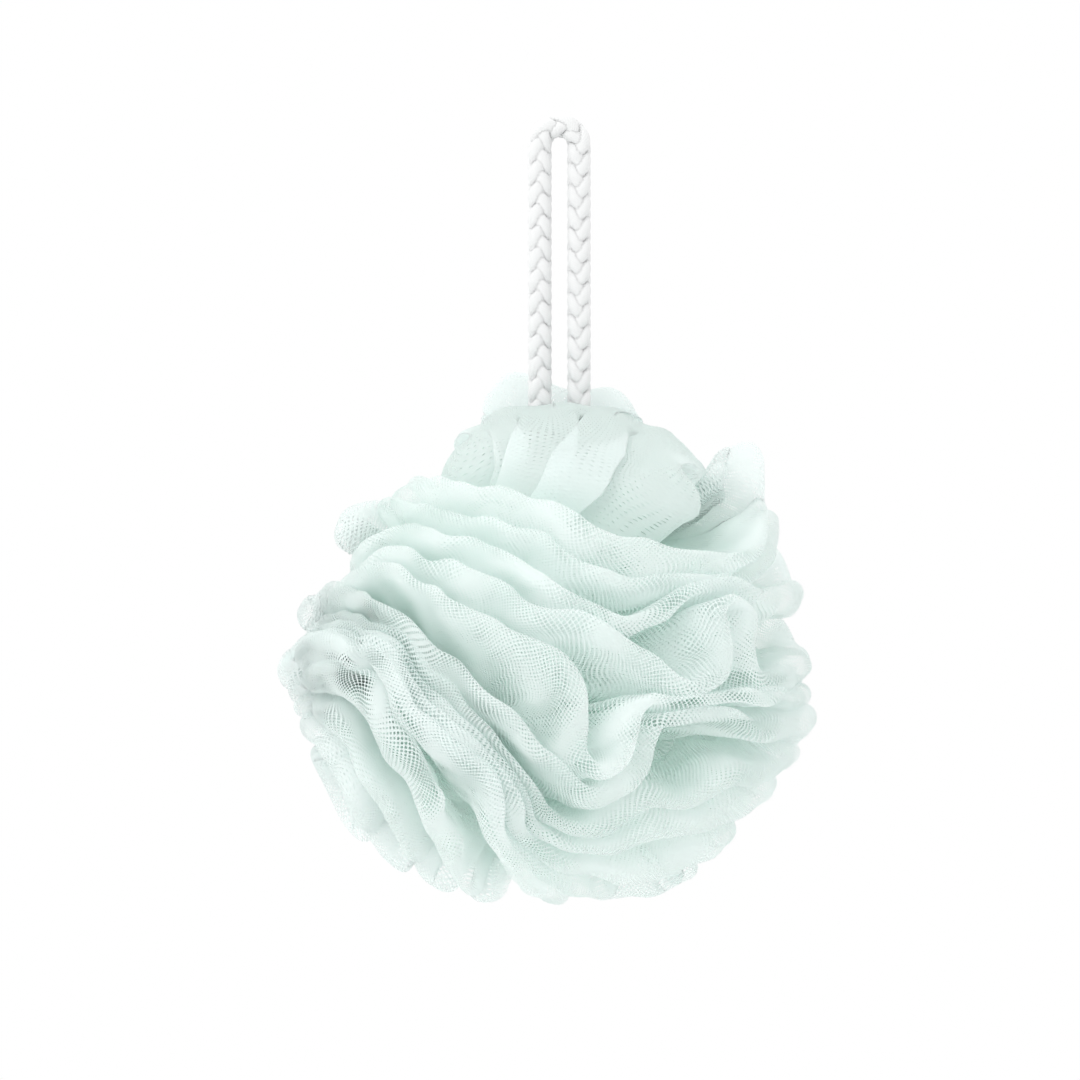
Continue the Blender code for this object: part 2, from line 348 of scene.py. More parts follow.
@dataclass(frozen=True)
class NetFinish:
    """Fine knotless plastic net: threads cross in diamonds and bunch here and there.

    Painted shade: the colour is deep, darker and greener, up to one distance from the ball's centre and
    pale past another.
    """

    pale: Triple = (0.93, 0.970, 0.962)
    # Colour of the painted shade deep inside the folds.
    deep: Triple = (0.85, 0.965, 0.92)
    roughness: float = 0.42
    specular: float = 0.4
    through: float = 0.60
    open_level: float = 0.30
    bunched_level: float = 1.0
    centre: Triple = (0.0, 0.0, 0.0)
    # Painted shade is whole up to the first radius from the centre and gone past the second.
    full_shade_radius: float = 0.036
    no_shade_radius: float = 0.058
    thread_relief: float = 0.4
    thread_height: float = 0.00016

    def material(self) -> bpy.types.Material:
        """Make the finish.

        A hole stands where the product of two sines, one along each run of threads, is over a
        level that rises where the net is bunched. The same product gives the relief. The rest is
        a soft plastic that lets some light through.

        Returns:
            The material.
        """
        material, board, shader = new_material("mint_net")
        across, along, _ = board.split(board.add("UVMap", uv_map=NET_MAP).outputs["UV"])
        runs = []
        for operation in ("ADD", "SUBTRACT"):
            phase = board.maths("MULTIPLY", board.maths(operation, across, along), math.pi)
            runs.append(board.maths("ABSOLUTE", board.maths("SINE", phase)))
        height = board.maths("MULTIPLY", *runs)
        openness = board.add("Attribute", attribute_name=OPENNESS).outputs["Fac"]
        level = board.spread(openness, (0.0, 1.0), (self.bunched_level, self.open_level))
        # Painted shade: the colour darkens towards the ball's centre, deep in the folds.
        place = board.add("TexCoord").outputs["Object"]
        out = board.add("VectorMath", {0: place, 1: self.centre}, operation="DISTANCE")
        shade = board.spread(out.outputs["Value"], (self.full_shade_radius, self.no_shade_radius), (0.0, 1.0))
        shaded_tint = board.blend(shade, self.deep, self.pale)
        board.feed(shader, {
            "Base Color": shaded_tint, "Roughness": self.roughness, "Specular IOR Level": self.specular,
            "Normal": board.relief(height, self.thread_relief, self.thread_height),
        })
        through = board.add("BsdfTranslucent", {"Color": shaded_tint}).outputs["BSDF"]
        plastic = board.mix(self.through, shader.outputs["BSDF"], through)
        clear = board.add("BsdfTransparent").outputs["BSDF"]
        holed = board.mix(board.maths("LESS_THAN", height, level), clear, plastic)
        board.feed(material.node_tree.nodes["Material Output"], {"Surface": holed})
        return material


def filament_group() -> bpy.types.NodeTree:
    """Node group of the fine filaments that a strand of cord is laid up from.

    Ridges run along the strand: a sine across it, bent a little by noise, gives their height, and
    the same noise, drawn out along the strand, adds to it. The height, carried to 0 to 1, is Shade,
    which paints shade into the low grooves between the ridges.

    Returns:
        The group, with the inputs Place, Fineness and Bend and the outputs Height and Shade.
    """
    group = bpy.data.node_groups.new("cord_filaments", "ShaderNodeTree")
    group.interface.new_socket("Place", in_out="INPUT", socket_type="NodeSocketVector")
    for name, way in (("Fineness", "INPUT"), ("Bend", "INPUT"), ("Height", "OUTPUT"), ("Shade", "OUTPUT")):
        group.interface.new_socket(name, in_out=way, socket_type="NodeSocketFloat")
    board = NodeBoard(group)
    given = group.nodes.new("NodeGroupInput").outputs
    stretched = board.add("Mapping", {"Scale": FIBRE_STRETCH, "Vector": given["Place"]}).outputs[0]
    noise = board.add("TexNoise", {"Scale": 1.0, "Detail": FIBRE_DETAIL, "Vector": stretched}).outputs[0]
    phase = board.maths("MULTIPLY", board.split(given["Place"])[0], given["Fineness"])
    bend = board.maths("MULTIPLY", noise, given["Bend"])
    ridge = board.maths("SINE", board.maths("ADD", phase, bend))
    height = board.maths("ADD", board.maths("MULTIPLY", ridge, RIDGE_SHARE), noise)
    shade = board.spread(height, RIDGE_RANGE, (0.0, 1.0))
    board.feed(group.nodes.new("NodeGroupOutput"), {"Height": height, "Shade": shade})
    return group


@dataclass(frozen=True)
class CordFinish:
    """Matt white fibre, laid up in strands of fine filaments."""

    name: str = "white_braid"
    source: StrandSource = StrandSource.OWN_MAP
    pale: Triple = (0.745, 0.75, 0.75)
    # Colour of the painted shade in the grooves between filaments.
    deep: Triple = (0.71, 0.72, 0.72)
    roughness: float = 0.75
    sheen: float = 0.3
    fineness: float = 14000.0
    bend: float = 3.0
    relief_strength: float = 0.6
    relief: float = 0.00010

    def material(self, filaments: bpy.types.NodeTree) -> bpy.types.Material:
        """Make the finish.

        Args:
            filaments: The node group of the strand's filaments.

        Returns:
            The material.
        """
        material, board, shader = new_material(self.name)
        if self.source is StrandSource.OWN_MAP:
            across, along, _ = board.split(board.add("UVMap", uv_map=STRAND_MAP).outputs["UV"])
            place = board.add("CombineXYZ", {0: across, 2: along}).outputs[0]
        else:
            place = board.add("TexCoord").outputs["Object"]
        entries = {"Place": place, "Fineness": self.fineness, "Bend": self.bend}
        relief_and_shade = board.add("Group", entries, node_tree=filaments).outputs
        # Painted shade: the colour is darker where the filaments' relief is low, in the grooves.
        board.feed(shader, {
            "Base Color": board.blend(relief_and_shade["Shade"], self.deep, self.pale),
            "Roughness": self.roughness, "Sheen Weight": self.sheen,
            "Normal": board.relief(relief_and_shade["Height"], self.relief_strength, self.relief),
        })
        return material


@dataclass(frozen=True)
class FloorFinish:
    """Plain pale floor that fades out towards its edge."""

    colour: Triple = (0.93, 0.93, 0.93)
    fade_start: float = 0.22
    fade_end: float = 0.37
    roughness: float = 0.8

    def material(self) -> bpy.types.Material:
        """Make the finish, whose cover falls with the distance from the floor's middle."""
        material, board, shader = new_material("pale_floor")
        place = board.add("TexCoord").outputs["Object"]
        flat = board.add("VectorMath", {0: place, 1: (1.0, 1.0, 0.0)}, operation="MULTIPLY").outputs[0]
        length = board.add("VectorMath", {0: flat}, operation="LENGTH").outputs["Value"]
        cover = board.spread(length, (self.fade_start, self.fade_end), (1.0, 0.0))
        board.feed(shader, {
            "Base Color": (*self.colour, 1.0), "Roughness": self.roughness, "Alpha": cover,
        })
        return material


@dataclass(frozen=True)
class Lamp:
    """A soft square lamp that shines at the pouf."""

    name: str
    place: Triple
    side: float
    watts: float


@dataclass
class Studio:
    """Camera, plain floor, soft lamps and white surroundings."""

    frame_width: float = 0.2592
    lens: float = 160.0
    sensor: float = 36.0
    view_middle: Pair = (-0.00468, -0.09624)
    floor_height: float = -0.30
    floor_radius: float = 0.38
    floor_corners: int = 96
    ambient: float = 1.14
    diffuse_bounces: int = 12
    see_through_bounces: int = 32
    lamps: tuple[Lamp, ...] = (
        Lamp("key", (-0.55, -0.75, 0.45), 0.6, 2.4),
        Lamp("fill", (-0.85, -0.45, -0.20), 0.8, 0.7),
        Lamp("top", (0.0, 0.25, 0.80), 0.8, 1.6),
    )
    finish: FloorFinish = field(default_factory=FloorFinish)

    def make_camera(self) -> None:
        """Stand the camera so far off that the frame takes in its width at the pouf's middle."""
        distance = self.frame_width / 2.0 / (self.sensor / 2.0 / self.lens)
        data = bpy.data.cameras.new("camera")
        data.lens = self.lens
        data.sensor_width = self.sensor
        camera = link_object("camera", data)
        camera.location = (self.view_middle[0], -distance, self.view_middle[1])
        camera.rotation_euler = (math.pi / 2.0, 0.0, 0.0)
        bpy.context.scene.camera = camera

    def make_world(self) -> None:
        """Even pale light, seen as plain white by the camera and in reflections."""
        world = bpy.data.worlds.new("surroundings")
        world.use_nodes = True
        board = NodeBoard(world.node_tree)
        nodes = world.node_tree.nodes
        light = board.feed(nodes["Background"], {"Color": WHITE, "Strength": self.ambient})
        plain = board.add("Background", {"Color": WHITE, "Strength": 1.0})
        rays = board.add("LightPath").outputs
        seen = rays["Is Camera Ray"]
        for kind in ("Is Glossy Ray", "Is Transmission Ray"):
            seen = board.maths("ADD", seen, rays[kind], clamp=True)
        both = board.mix(seen, light.outputs[0], plain.outputs[0])
        board.feed(nodes["World Output"], {"Surface": both})
        bpy.context.scene.world = world

    def make_lamps(self, target: np.ndarray) -> None:
        """Hang the lamps and aim them.

        Args:
            target: The point that they shine at.
        """
        for lamp in self.lamps:
            data = bpy.data.lights.new(lamp.name, "AREA")
            data.size = lamp.side
            data.energy = lamp.watts
            hung = link_object(lamp.name, data)
            hung.location = lamp.place
            aim = Vector(target) - Vector(lamp.place)
            hung.rotation_euler = aim.to_track_quat("-Z", "Y").to_euler()

    def make_floor(self) -> None:
        """Disc of floor, worked out as one ring of corners round a filled face."""
        angle = np.linspace(0.0, FULL_TURN, self.floor_corners, endpoint=False)
        reach = self.floor_radius
        height = np.full_like(angle, self.floor_height)
        ring = np.stack((reach * np.cos(angle), reach * np.sin(angle), height), axis=1)
        mesh = bpy.data.meshes.new("floor")
        mesh.from_pydata(ring.tolist(), [], [list(range(len(ring)))])
        mesh.materials.append(self.finish.material())
        link_object("floor", mesh)

    def build(self, target: np.ndarray) -> None:
        """Make the whole studio round the pouf.

        Args:
            target: The pouf's centre.
        """
        self.make_camera()
        self.make_world()
        self.make_lamps(target)
        self.make_floor()
        scene = bpy.context.scene
        scene.view_settings.view_transform = "Standard"
        scene.cycles.diffuse_bounces = self.diffuse_bounces
        scene.cycles.transparent_max_bounces = self.see_through_bounces
        scene.cycles.use_denoising = True


@dataclass
class BraidedCord:
    """One length of white cord, braided from strands that cross over and under each other."""

    diameter: float = 0.0064
    leg_spacing: float = 0.0094
    leg_foot: float = -0.0992
    lay_length: float = 0.0104
    strand_half_width: float = 0.00205
    strand_height: float = 0.00125
    weave_height: float = 0.00050
    heart_radius: float = 0.0017
    twist: float = math.radians(45.0)
    steps_round: int = 44
    step_length: float = 0.00025
    path_step: float = 0.004
    map_gap: float = 0.01
    inside_fineness: float = 9000.0

    def route(self, spacing: float) -> Arrays:
        """Even steps up the left leg, over a half circle and down the right leg.

        Args:
            spacing: Rough length of a step.

        Returns:
            The distance run, the point and the direction at each step.
        """
        offset = self.leg_spacing / 2.0
        bend_height = -(offset - self.diameter / 2.0)
        leg = bend_height - self.leg_foot
        total = 2.0 * leg + math.pi * offset
        run = np.linspace(0.0, total, int(round(total / spacing)) + 1)
        angle = math.pi - np.clip((run - leg) / offset, 0.0, math.pi)
        rise = np.minimum(run, leg) - np.maximum(run - leg - math.pi * offset, 0.0)
        nothing = np.zeros_like(run)
        height = self.leg_foot + rise + offset * np.sin(angle)
        points = np.stack((offset * np.cos(angle), nothing, height), axis=1)
        directions = np.stack((np.sin(angle), nothing, -np.cos(angle)), axis=1)
        return run, points, directions

    def strand(self, run: np.ndarray, angle: np.ndarray, turn: Turn) -> Arrays:
        """Outer radius of the two strands that wind one way, half a turn apart.

        The offset from the nearer one, square to it, gives half an ellipse, which rides out where
        the strand goes over and in where it goes under.

        Args:
            run: Distance along the cord.
            angle: Angle round the cord.
            turn: The way that they wind.

        Returns:
            The radius, the offset across the strand and the distance along it.
        """
        slope = FULL_TURN / self.lay_length
        middle_radius = self.diameter / 2.0 - self.strand_height / 2.0
        lean = math.atan(slope * middle_radius)
        offset = angle - self.twist - turn.value * slope * run
        offset = (offset + math.pi / 2.0) % math.pi - math.pi / 2.0
        across = offset * middle_radius * math.cos(lean)
        share = np.clip(1.0 - (across / self.strand_half_width) ** 2, 0.0, 1.0)
        ride = turn.value * self.weave_height * np.cos(2.0 * (angle - self.twist))
        base = self.diameter / 2.0 - self.strand_height - self.weave_height
        return base + ride + self.strand_height * np.sqrt(share), across, run / math.cos(lean)

    def surface(self) -> Patch:
        """Tube whose radius is the higher of the two windings, and never under the heart's.

        Returns:
            The grid, closed at both ends.
        """
        run, points, directions = self.route(self.step_length)
        angle = np.linspace(0.0, FULL_TURN, self.steps_round + 1)
        runs, angles = np.meshgrid(run, angle)
        right, right_across, right_along = self.strand(runs, angles, Turn.RIGHT)
        left, left_across, left_along = self.strand(runs, angles, Turn.LEFT)
        over = right > left
        radius = np.maximum(np.maximum(right, left), self.heart_radius)
        across = np.where(over, right_across, left_across + self.map_gap)
        along = np.where(over, right_along, left_along)
        depth_axis = np.array((0.0, 1.0, 0.0))
        outward = np.cross(directions, depth_axis)
        ring = outward[None] * np.cos(angles)[..., None] + depth_axis * np.sin(angles)[..., None]
        tube = points[None] + ring * radius[..., None]
        places = np.stack((across, along), axis=-1)
        return Patch(tube[:-1], places, radius[:-1], closed=True)

    def build(self) -> bpy.types.Object:
        """Returns:
            The cord.
        """
        filaments = filament_group()
        braid = CordFinish().material(filaments)
        cord = surface_object("braided_cord", [self.surface()], STRAND_MAP, "strand_radius", braid)
        inside = CordFinish("white_cord_inside", StrandSource.OBJECT, fineness=self.inside_fineness)
        inside_material = inside.material(filaments)
        tied = [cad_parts[name] for name in ("cord_knot", "gather_tie")]
        for node in tied:
            for place in node.material_slots:
                place.material = inside_material
        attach(cord, "root")
        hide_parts("hanging_cord")
        return cord


@dataclass(frozen=True)
class Ruffle:
    """A place where the net is turned about a point of the ball, most at the rims."""

    direction: Triple
    reach: float
    turn: float

    @classmethod
    def on_front(cls, across: float, up: float, reach: float, turn: float) -> "Ruffle":
        """Make a ruffle at a place on the front.

        Args:
            across: Place to the right of the middle, in radii of the ball.
            up: Place above the middle, in the same measure.
            reach: How far it reaches, in degrees.
            turn: How far it turns to the left, in degrees.

        Returns:
            The ruffle.
        """
        towards_viewer = math.sqrt(1.0 - across * across - up * up)
        return cls((across, -towards_viewer, up), math.radians(reach), math.radians(turn))

    def apply(self, points: np.ndarray, radius: float, start: float, end: float) -> np.ndarray:
        """Turn points about the ruffle's direction.

        The turn fades with the angle from that direction, and rises from the heart to the rims.

        Args:
            points: Points as rows, from the ball's centre.
            radius: The ball's radius.
            start: Share of the radius where the turn starts.
            end: Share of the radius where it is whole.

        Returns:
            The turned points.
        """
        centre = np.array(self.direction)
        distance = lengths(points)
        cosine = points @ centre / distance
        near = cosine > math.cos(self.reach)
        result = points.copy()
        angle = np.arccos(np.clip(cosine[near], -1.0, 1.0))
        fade = np.clip(1.0 - (angle / self.reach) ** 2, 0.0, 1.0) ** 2
        depth = smooth_step((distance[near] / radius - start) / (end - start))
        result[near] = turned(points[near], centre, self.turn * fade * depth)
        return result


@dataclass(frozen=True)
class Scatter:
    """A number of ruffles drawn at random from one seed, with their reaches and turns in degrees."""

    places: int
    reaches: Pair
    turns: Pair
    seed: int

    def draw(self, chance: np.random.Generator) -> Pair:
        """Draw a ruffle's reach and turn, in radians."""
        return math.radians(chance.uniform(*self.reaches)), math.radians(chance.uniform(*self.turns))


@dataclass(frozen=True)
class FoldLine:
    """A fold's rim across the front, from the left of the outline to the right.

    Each stop is its place across and down in the photograph's pixels, and half the rim's width
    there in the same measure. The sink is the share of the ball's radius that the rim lies under
    the outermost ones, and the mean openness of its net goes from 0, bunched, to 1. A line that
    runs behind the cord has its distance there, in metres.
    """

    name: str
    stops: tuple[Triple, ...]
    sink: float = 0.0
    openness: float = 0.66
    behind: float = 0.0

    def even(self, count: int) -> np.ndarray:
        """Even steps along the smooth line through the stops.

        Between stops it is a cubic, whose slope at a stop comes from the chords on both sides.

        Args:
            count: Number of steps.

        Returns:
            Rows of place across, place down and half width.
        """
        stops = np.array(self.stops)
        chords = lengths(np.diff(stops[:, :2], axis=0))
        knots = np.concatenate(([0.0], np.cumsum(chords)))
        slopes = np.gradient(stops, knots, axis=0)
        fine = np.linspace(0.0, knots[-1], LINE_SAMPLES)
        index = np.clip(np.searchsorted(knots, fine, side="right") - 1, 0, len(chords) - 1)
        span = chords[index][:, None]
        share = (fine[:, None] - knots[index][:, None]) / span
        line = (
            (2 * share ** 3 - 3 * share ** 2 + 1) * stops[index]
            + (share ** 3 - 2 * share ** 2 + share) * span * slopes[index]
            + (3 * share ** 2 - 2 * share ** 3) * stops[index + 1]
            + (share ** 3 - share ** 2) * span * slopes[index + 1]
        )
        run = run_along(line[:, :2])
        steps = np.linspace(0.0, run[-1], count)
        return np.stack([np.interp(steps, run, line[:, column]) for column in range(3)], axis=1)

    @property
    def sway_seed(self) -> int:
        """Number of letters in the name, which seeds the rim's sway."""
        return len(self.name)

    @property
    def length(self) -> float:
        """Length of the line in pixels."""
        return float(lengths(np.diff(np.array(self.stops)[:, :2], axis=0)).sum())


FOLD_LINES = (
    FoldLine("collar", (
        (500, 430, 7), (494, 406, 8), (501, 385, 9), (517, 371, 9), (534, 374, 8), (550, 381, 8),
        (566, 387, 8), (584, 389, 8), (602, 389, 9), (617, 404, 8), (618, 428, 7),
    ), openness=0.4, behind=0.0075),
    FoldLine("cap", (
        (466, 456, 20), (478, 436, 44), (508, 418, 72), (552, 412, 90), (596, 416, 102),
        (636, 432, 102), (664, 456, 74), (684, 476, 36), (694, 486, 16),
    ), openness=0.10),
    FoldLine("cap_edge", (
        (399, 490, 14), (418, 483, 12), (447, 483, 9), (476, 487, 7), (504, 491, 7), (532, 500, 9),
        (562, 515, 11), (592, 532, 13), (622, 545, 15), (652, 548, 16), (682, 549, 13), (708, 554, 9),
        (730, 560, 7), (748, 553, 7), (757, 534, 8), (760, 508, 8), (761, 480, 8), (757, 455, 8),
        (742, 441, 8), (726, 447, 8), (717, 466, 8), (713, 488, 9),
    )),
    FoldLine("upper_ridge", (
        (337, 530, 23), (345, 514, 22), (367, 503, 18), (398, 501, 10), (440, 508, 7), (478, 513, 7),
        (510, 519, 7), (540, 533, 7), (570, 551, 7), (600, 567, 7), (630, 575, 7), (660, 575, 7),
        (690, 573, 6), (716, 575, 6), (742, 575, 8), (761, 560, 10), (770, 538, 14), (773, 512, 16),
    ), sink=0.03),
    FoldLine("hook_crest", (
        (354, 562, 8), (366, 548, 8), (388, 532, 8), (416, 526, 7), (444, 529, 7), (472, 538, 7),
        (500, 550, 7), (530, 567, 7), (560, 588, 8), (598, 607, 9), (632, 617, 9), (654, 611, 9),
        (674, 596, 8), (694, 585, 7), (714, 580, 7), (738, 583, 7), (758, 594, 9), (782, 596, 14),
        (802, 592, 18),
    ), sink=0.015),
    FoldLine("hook", (
        (348, 584, 8), (364, 569, 8), (386, 553, 7), (412, 549, 7), (440, 559, 9), (470, 573, 12),
        (500, 589, 14), (530, 603, 13), (560, 611, 12), (590, 620, 12), (620, 637, 12), (648, 657, 11),
        (672, 673, 9), (694, 683, 8), (711, 675, 11), (719, 651, 14), (718, 624, 14), (718, 603, 9),
        (727, 594, 4), (739, 602, 4), (745, 630, 6), (748, 655, 6), (758, 672, 8), (784, 674, 12),
        (814, 664, 18),
    )),
    FoldLine("pocket", (
        (333, 600, 8), (348, 582, 8), (371, 567, 8), (396, 566, 8), (421, 578, 9), (450, 600, 10),
        (480, 618, 12), (510, 634, 17), (540, 650, 24), (566, 678, 27), (574, 716, 19), (583, 750, 11),
        (602, 762, 9), (620, 749, 9), (629, 724, 10), (636, 701, 9), (649, 690, 6), (670, 692, 5),
        (697, 695, 5), (724, 695, 6), (750, 691, 7), (780, 694, 9), (813, 698, 11),
    )),
    FoldLine("right_pocket", (
        (296, 614, 23), (313, 600, 22), (342, 591, 14), (378, 598, 9), (410, 617, 9), (440, 642, 10),
        (470, 667, 10), (498, 692, 10), (526, 716, 10), (550, 742, 9), (572, 767, 8), (597, 783, 10),
        (623, 780, 14), (642, 760, 12), (650, 734, 9), (659, 714, 8), (680, 707, 7), (706, 707, 7),
        (730, 713, 8), (750, 724, 10), (786, 726, 15), (818, 724, 20),
    ), sink=0.035),
    FoldLine("slit", (
        (302, 642, 8), (316, 623, 9), (345, 616, 9), (385, 624, 10), (425, 643, 10), (458, 674, 10),
        (486, 710, 9), (512, 746, 9), (540, 781, 10), (574, 805, 11), (618, 812, 13), (660, 796, 15),
        (702, 785, 15), (742, 777, 15), (778, 768, 14), (800, 756, 14),
    ), sink=0.06),
    FoldLine("low_sweep", (
        (288, 656, 6), (302, 636, 7), (338, 626, 8), (380, 635, 9), (416, 657, 9), (446, 687, 9),
        (474, 722, 9), (500, 758, 9), (528, 795, 10), (560, 824, 11), (600, 838, 12), (646, 834, 14),
        (694, 822, 15), (742, 808, 16), (776, 790, 15),
    ), sink=0.04),
    FoldLine("under_sweep", (
        (282, 664, 6), (296, 646, 6), (328, 634, 7), (368, 640, 8), (406, 661, 8), (437, 692, 8),
        (464, 726, 8), (489, 762, 8), (514, 798, 9), (540, 832, 10), (570, 860, 12), (610, 874, 13),
        (654, 870, 15), (696, 858, 16), (732, 842, 17),
    ), sink=0.02),
    FoldLine("bottom_right", (
        (278, 670, 6), (292, 652, 6), (322, 640, 7), (362, 645, 8), (398, 665, 8), (429, 696, 8),
        (455, 730, 8), (479, 766, 8), (502, 802, 9), (524, 838, 11), (550, 870, 13), (584, 892, 14),
        (624, 900, 15), (664, 892, 16), (694, 876, 16),
    ), sink=0.04),
    FoldLine("net_band", (
        (274, 674, 24), (290, 660, 22), (318, 647, 17), (356, 650, 12), (388, 668, 12), (415, 696, 15),
        (440, 728, 18), (463, 762, 19), (484, 796, 17), (502, 830, 15), (518, 862, 14), (536, 890, 14),
        (556, 906, 14),
    )),
    FoldLine("left_face", (
        (286, 692, 10), (300, 680, 12), (324, 674, 16), (352, 682, 21), (376, 704, 25), (396, 734, 25),
        (413, 768, 21), (428, 802, 17), (442, 836, 15), (456, 868, 14), (472, 894, 14), (488, 904, 14),
    ), sink=0.02),
    FoldLine("oval", (
        (290, 710, 10), (304, 706, 12), (324, 714, 14), (345, 736, 15), (364, 766, 15), (381, 798, 14),
        (397, 830, 13), (413, 860, 12), (430, 884, 12), (444, 894, 12),
    ), sink=0.05),
    FoldLine("lower_left", (
        (298, 730, 10), (311, 734, 12), (327, 754, 14), (342, 782, 15), (356, 812, 14), (371, 840, 13),
        (384, 860, 12), (396, 870, 11),
    ), sink=0.015),
    FoldLine("bottom_left", (
        (312, 760, 9), (320, 776, 11), (330, 800, 12), (341, 822, 11), (354, 838, 10),
    ), sink=0.03),
)


@dataclass
class PoufShape:
    """Where the net's folds run: rims drawn across the front, rings over the back, one heart."""

    radius: float = 0.063
    half_depth: float = 0.061
    loop_drop: float = 0.061
    pixel: float = 0.00024
    cord_pixel: float = 559.5
    loop_pixel: float = 139.0
    heart_radius: float = 0.020
    blend_zone: Pair = (0.022, 0.050)
    lean_angle: float = math.radians(35.0)
    droop_angle: float = math.radians(16.0)
    lean_zone: Pair = (0.48, 0.98)
    ruffle_zone: Pair = (0.32, 0.90)
    back_half_width: float = 0.0030
    leg_half_width: float = 0.0105
    leg_half_depth: float = 0.0058
    parting_rise: float = 0.015
    wrinkle_lengths: Floats = (0.0170, 0.0110, 0.0080)
    wrinkle_heights: Floats = (0.00045, 0.00018, 0.00008)
    wrinkle_zone: Pair = (0.32, 0.80)
    wrinkles_each: int = 3
    wrinkle_seed: int = 100
    side: Scatter = Scatter(46, (20.0, 28.0), (70.0, 130.0), 21)
    side_front_limit: float = -0.05
    fine: Scatter = Scatter(70, (8.0, 15.0), (5.0, 12.0), 5)
    fine_clear_of_top: float = math.radians(8.0)
    front_ruffles: tuple[Floats, ...] = (
        (-0.47, -0.36, 18.0, 34.0), (-0.14, -0.60, 18.0, -30.0), (0.26, -0.70, 18.0, 34.0),
        (-0.66, -0.06, 15.0, -28.0), (0.60, -0.52, 16.0, 30.0), (-0.34, -0.80, 14.0, -28.0),
        (0.02, -0.86, 13.0, 26.0), (-0.70, -0.50, 14.0, 26.0), (0.78, 0.06, 14.0, -26.0),
        (-0.42, 0.40, 15.0, 14.0), (-0.16, 0.20, 13.0, -12.0),
    )
    rim_sway: float = 0.014
    rim_waves: Counts = (3, 11)
    end_share: float = 0.07
    back_share: float = 0.975
    back_sway: float = 0.05
    back_waves: Counts = (3, 9)
    back_seed: int = 60
    join_share: float = 0.12
    width_sway: float = 0.45
    width_waves: Counts = (2, 9)
    width_seed: int = 80
    corner_columns: float = 5.5
    outline: tuple[Pair, ...] = (
        (0.0, 1.016), (25.0, 0.952), (45.0, 0.952), (70.0, 1.000), (95.0, 1.055), (120.0, 1.063),
        (150.0, 1.032), (180.0, 0.976), (210.0, 1.016), (235.0, 1.032), (260.0, 1.040),
        (290.0, 0.960), (312.0, 0.905), (335.0, 0.937),
    )
    outline_spread: float = math.radians(16.0)

    @property
    def centre(self) -> np.ndarray:
        """The ball's centre, under the loop."""
        return np.array((0.0, 0.0, -(self.loop_drop + self.radius)))

    def side_ruffles(self) -> list[Ruffle]:
        """Ruffles of the sides and back, spread by the golden angle, turned left and right by turns.

        Returns:
            Those that keep off the front and the cord.
        """
        chance = np.random.default_rng(self.side.seed)
        golden_angle = math.pi * (3.0 - math.sqrt(5.0))
        ruffles = []
        for place in range(self.side.places):
            height = 1.0 - (2.0 * place + 1.0) / self.side.places
            ring = math.sqrt(1.0 - height * height)
            angle = golden_angle * place
            direction = (ring * math.cos(angle), ring * math.sin(angle), height)
            reach, turn = self.side.draw(chance)
            if direction[1] < self.side_front_limit + math.sin(reach) or math.acos(height) < reach:
                continue
            ruffles.append(Ruffle(direction, reach, turn if place % 2 else -turn))
        return ruffles

    def fine_ruffles(self) -> list[Ruffle]:
        """Small ruffles spread at random over the ball, except round the cord.

        Returns:
            The ruffles.
        """
        chance = np.random.default_rng(self.fine.seed)
        ruffles = []
        for _ in range(self.fine.places):
            direction = chance.normal(size=3)
            direction /= np.linalg.norm(direction)
            reach, turn = self.fine.draw(chance)
            turn *= chance.choice((-1.0, 1.0))
            if math.acos(direction[2]) > reach + self.fine_clear_of_top:
                ruffles.append(Ruffle(tuple(direction), reach, turn))
        return ruffles

    def outline_radius(self, clock: np.ndarray) -> np.ndarray:
        """Radius of the outline seen from the front, a blend of its radii under bell curves.

        Args:
            clock: Directions clockwise from the top, in radians.

        Returns:
            The radius in each direction.
        """
        weights = np.zeros_like(clock)
        radii = np.zeros_like(clock)
        for degrees, radius in self.outline:
            away = (clock - math.radians(degrees) + math.pi) % FULL_TURN - math.pi
            weight = np.exp(-0.5 * (away / self.outline_spread) ** 2)
            weights += weight
            radii += weight * radius * self.radius
        return radii / weights

    def reach(self, directions: np.ndarray) -> np.ndarray:
        """Distance from the centre to an ellipsoid as wide as the outline and with its own depth.

        Args:
            directions: Unit vectors as rows.

        Returns:
            The distances.
        """
        across = np.hypot(directions[:, 0], directions[:, 2])
        edge = self.outline_radius(np.arctan2(directions[:, 0], directions[:, 2]))
        return 1.0 / np.hypot(across / edge, directions[:, 1] / self.half_depth)

    def front_rim(self, line: FoldLine, count: int) -> Arrays:
        """Rim across the front, where the drawn line meets the ball.

        Its depth fades out at both ends of the line, which lie in the outline's plane. A line that
        runs behind the cord keeps one depth.

        Args:
            line: The drawn line.
            count: Number of columns.

        Returns:
            Points as rows, from the centre, and half the rim's width at each.
        """
        drawn = line.even(count)
        across = (drawn[:, 0] - self.cord_pixel) * self.pixel
        up = (self.loop_pixel - drawn[:, 1]) * self.pixel - self.centre[2]
        edge = self.outline_radius(np.arctan2(across, up))
        share = np.linspace(0.0, 1.0, count)
        ends = smooth_step(np.minimum(share, 1.0 - share) / self.end_share)
        sway = self.rim_sway * (1.0 + waves(share * math.pi, line.sway_seed, *self.rim_waves))
        sunk = 1.0 - (line.sink + sway) * ends
        inner = np.clip(sunk ** 2 - (across ** 2 + up ** 2) / edge ** 2, 0.0, 1.0)
        depth = self.half_depth * np.sqrt(inner * ends)
        if line.behind:
            depth = np.full(count, -line.behind)
        return np.stack((across, -depth, up), axis=1), drawn[:, 2] * self.pixel

